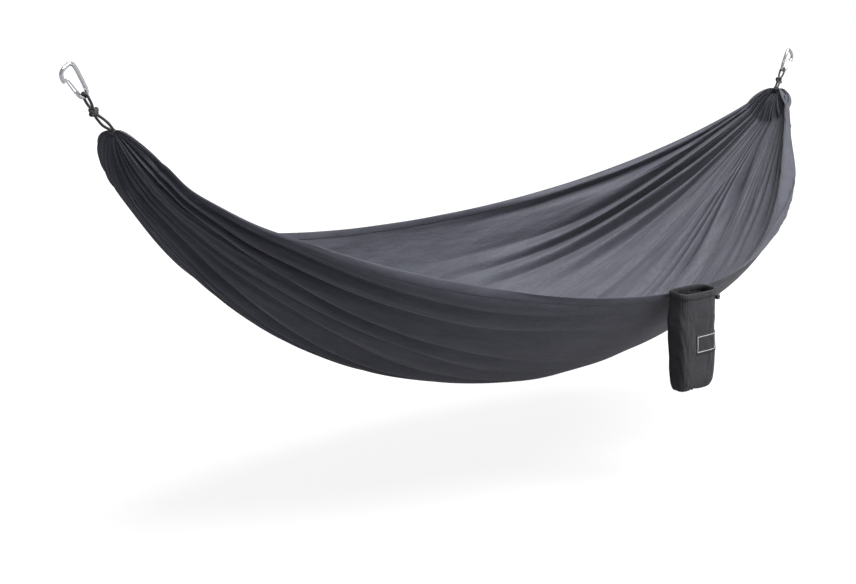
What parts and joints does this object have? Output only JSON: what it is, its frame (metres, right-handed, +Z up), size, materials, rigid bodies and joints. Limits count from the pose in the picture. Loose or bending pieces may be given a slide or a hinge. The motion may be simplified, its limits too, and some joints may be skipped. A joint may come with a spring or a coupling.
{
  "type": "camping hammock",
  "caption": "Gathered-end fabric hammock hung by cord slings and wire-gate snap hooks, with its stuff sack hanging from the near edge.",
  "frame": {"origin": "midway between the two anchor points, where the tree straps bear on the carabiners", "axes": "+X along the hammock to its right end, +Y across it to the far edge, +Z up"},
  "size_m": [2.7316, 0.8866, 0.7551],
  "materials": {
    "taffeta": "charcoal nylon taffeta, slight sheen",
    "sack_cloth": "charcoal nylon taffeta, matt side out",
    "label_weave": "plain black woven label with a thin pale border",
    "cord": "black braided cord",
    "thin_cord": "black braided drawcord",
    "polished_alloy": "polished",
    "gate_wire": "bright drawn wire",
    "lock_plastic": "moulded black"
  },
  "bodies": {
    "carabiners": {"left_carabiner_frame": "polished_alloy", "right_carabiner_frame": "polished_alloy"},
    "left_gate": {"left_wire_gate": "gate_wire"},
    "right_gate": {"right_wire_gate": "gate_wire"},
    "bed": {"bed_middle_panel": "taffeta", "bed_near_panel": "taffeta", "bed_far_panel": "taffeta", "near_edge_hem": "taffeta", "far_edge_hem": "taffeta", "left_end_casing": "taffeta", "left_cord_loop": "cord", "left_cord_whipping": "cord", "left_stopper_knot": "cord", "left_carabiner_bight": "cord", "right_end_casing": "taffeta", "right_cord_loop": "cord", "right_cord_whipping": "cord", "right_stopper_knot": "cord", "right_carabiner_bight": "cord"},
    "sack": {"sack_side": "sack_cloth", "sack_bottom": "sack_cloth", "sack_mouth_hem": "sack_cloth", "sack_tab": "sack_cloth", "sack_label": "label_weave", "sack_drawcord": "thin_cord", "sack_drawcord_knot": "thin_cord"},
    "cord_lock": {"cord_lock_barrel": "lock_plastic", "cord_lock_spring": "gate_wire"},
    "lock_button": {"cord_lock_button": "lock_plastic"}
  },
  "joints": [
    {"name": "left_gate_hinge", "type": "hinge", "parent": "carabiners", "child": "left_gate", "pos_m": [-1.32537, 0, -0.04936], "axis": [0, 1, 0], "range_deg": [0, 25], "stiffness_Nm_per_rad": 0.05, "springref_deg": -22.92},
    {"name": "right_gate_hinge", "type": "hinge", "parent": "carabiners", "child": "right_gate", "pos_m": [1.32537, 0, -0.04936], "axis": [0, -1, 0], "range_deg": [0, 25], "stiffness_Nm_per_rad": 0.05, "springref_deg": -22.92},
    {"name": "bed_swing", "type": "hinge", "parent": "carabiners", "child": "bed", "pos_m": [0, 0, -0.0535], "axis": [1, 0, 0], "range_deg": [-40, 40], "deforming": ["left_carabiner_bight", "right_carabiner_bight"]},
    {"name": "sack_swing", "type": "hinge", "parent": "bed", "child": "sack", "pos_m": [0.014, -0.4655, -0.4913], "axis": [1, 0, 0], "range_deg": [-75, 10]},
    {"name": "cord_lock_slide", "type": "slide", "parent": "sack", "child": "cord_lock", "axis": [0, 0, 1], "range_m": [-0.028, 0]},
    {"name": "lock_button_press", "type": "slide", "parent": "cord_lock", "child": "lock_button", "axis": [0, -1, 0], "range_m": [0, 0.003], "stiffness_N_per_m": 100, "springref_m": -0.004, "deforming": ["cord_lock_spring"]}
  ]
}
